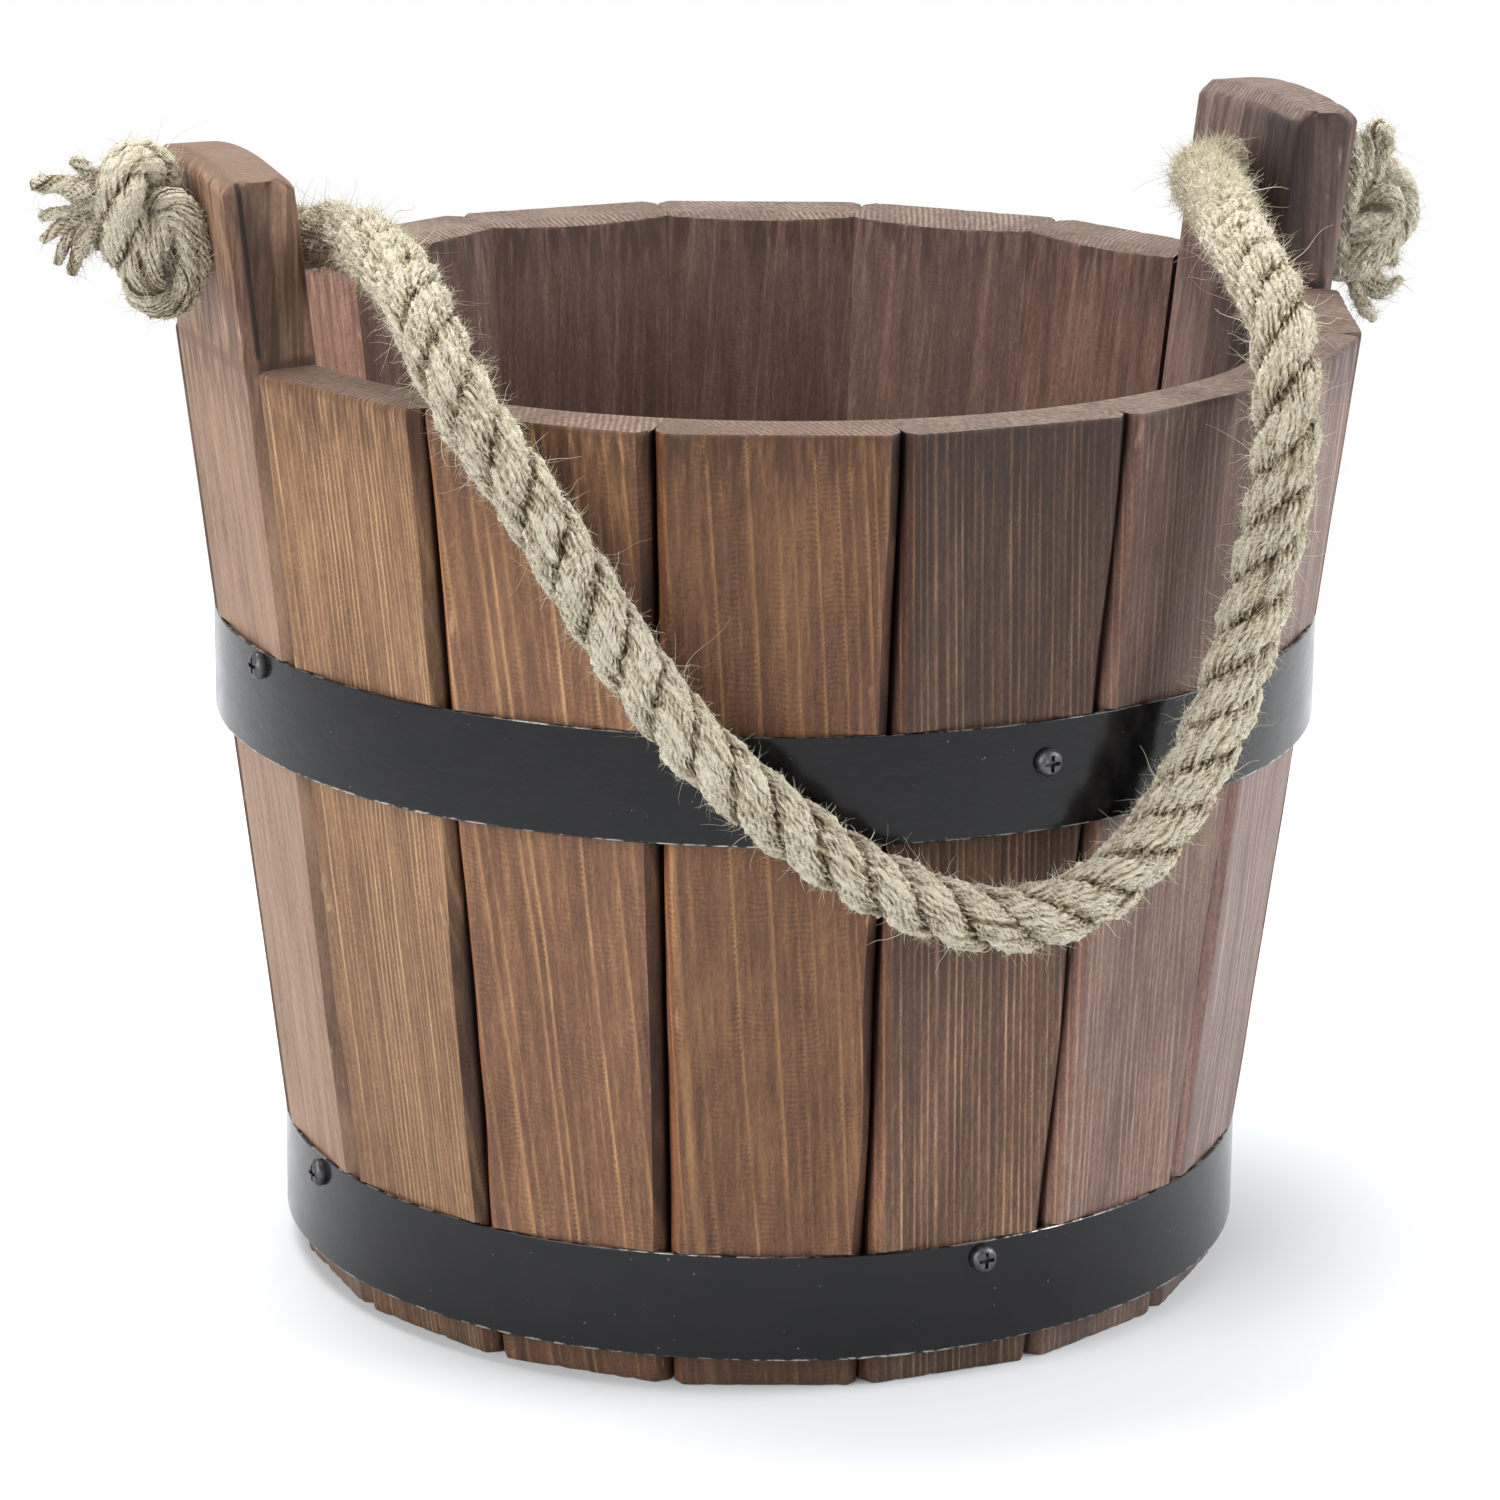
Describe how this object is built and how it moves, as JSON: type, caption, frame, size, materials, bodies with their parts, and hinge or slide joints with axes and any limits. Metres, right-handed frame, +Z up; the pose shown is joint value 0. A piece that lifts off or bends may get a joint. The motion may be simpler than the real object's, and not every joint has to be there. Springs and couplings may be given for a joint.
{
  "type": "wooden tub planter",
  "caption": "Round tapered tub of wooden staves held by flat steel hoops, with a knotted rope handle through two raised ears.",
  "frame": {"origin": "on the surface the tub stands on, under the middle of the tub", "axes": "+Z up along the tub's axis, +X from the left ear to the right ear, -Y towards the side where the rope hangs"},
  "size_m": [0.395, 0.3131, 0.303],
  "materials": {
    "stained_wood": "brown-stained softwood, sawn and lightly sanded",
    "floor_wood": "brown-stained softwood boards",
    "hoop_steel": "satin black paint on flat steel strip, worn at the edges",
    "screw_steel": "dark coated steel",
    "rope_fibre": "hairy straw-coloured plant fibre, laid in three strands"
  },
  "bodies": {
    "tub": {"stave_01": "stained_wood", "stave_02": "stained_wood", "stave_03": "stained_wood", "stave_04": "stained_wood", "stave_05": "stained_wood", "stave_06": "stained_wood", "stave_07": "stained_wood", "stave_08": "stained_wood", "stave_09": "stained_wood", "stave_10": "stained_wood", "stave_11": "stained_wood", "stave_12": "stained_wood", "stave_13": "stained_wood", "stave_14": "stained_wood", "ear_stave_left": "stained_wood", "ear_stave_right": "stained_wood", "floor_board_1": "floor_wood", "floor_board_2": "floor_wood", "floor_board_3": "floor_wood", "floor_board_4": "floor_wood", "hoop_upper": "hoop_steel", "hoop_lower": "hoop_steel", "hoop_screws_upper": "screw_steel", "hoop_screws_lower": "screw_steel", "rope_knot_left": "rope_fibre", "rope_knot_right": "rope_fibre"},
    "rope": {"rope_handle": "rope_fibre"}
  },
  "joints": [
    {"name": "handle_swing", "type": "hinge", "parent": "tub", "child": "rope", "pos_m": [0, 0, 0.2775], "axis": [-1, 0, 0], "range_deg": [0, 135]}
  ]
}
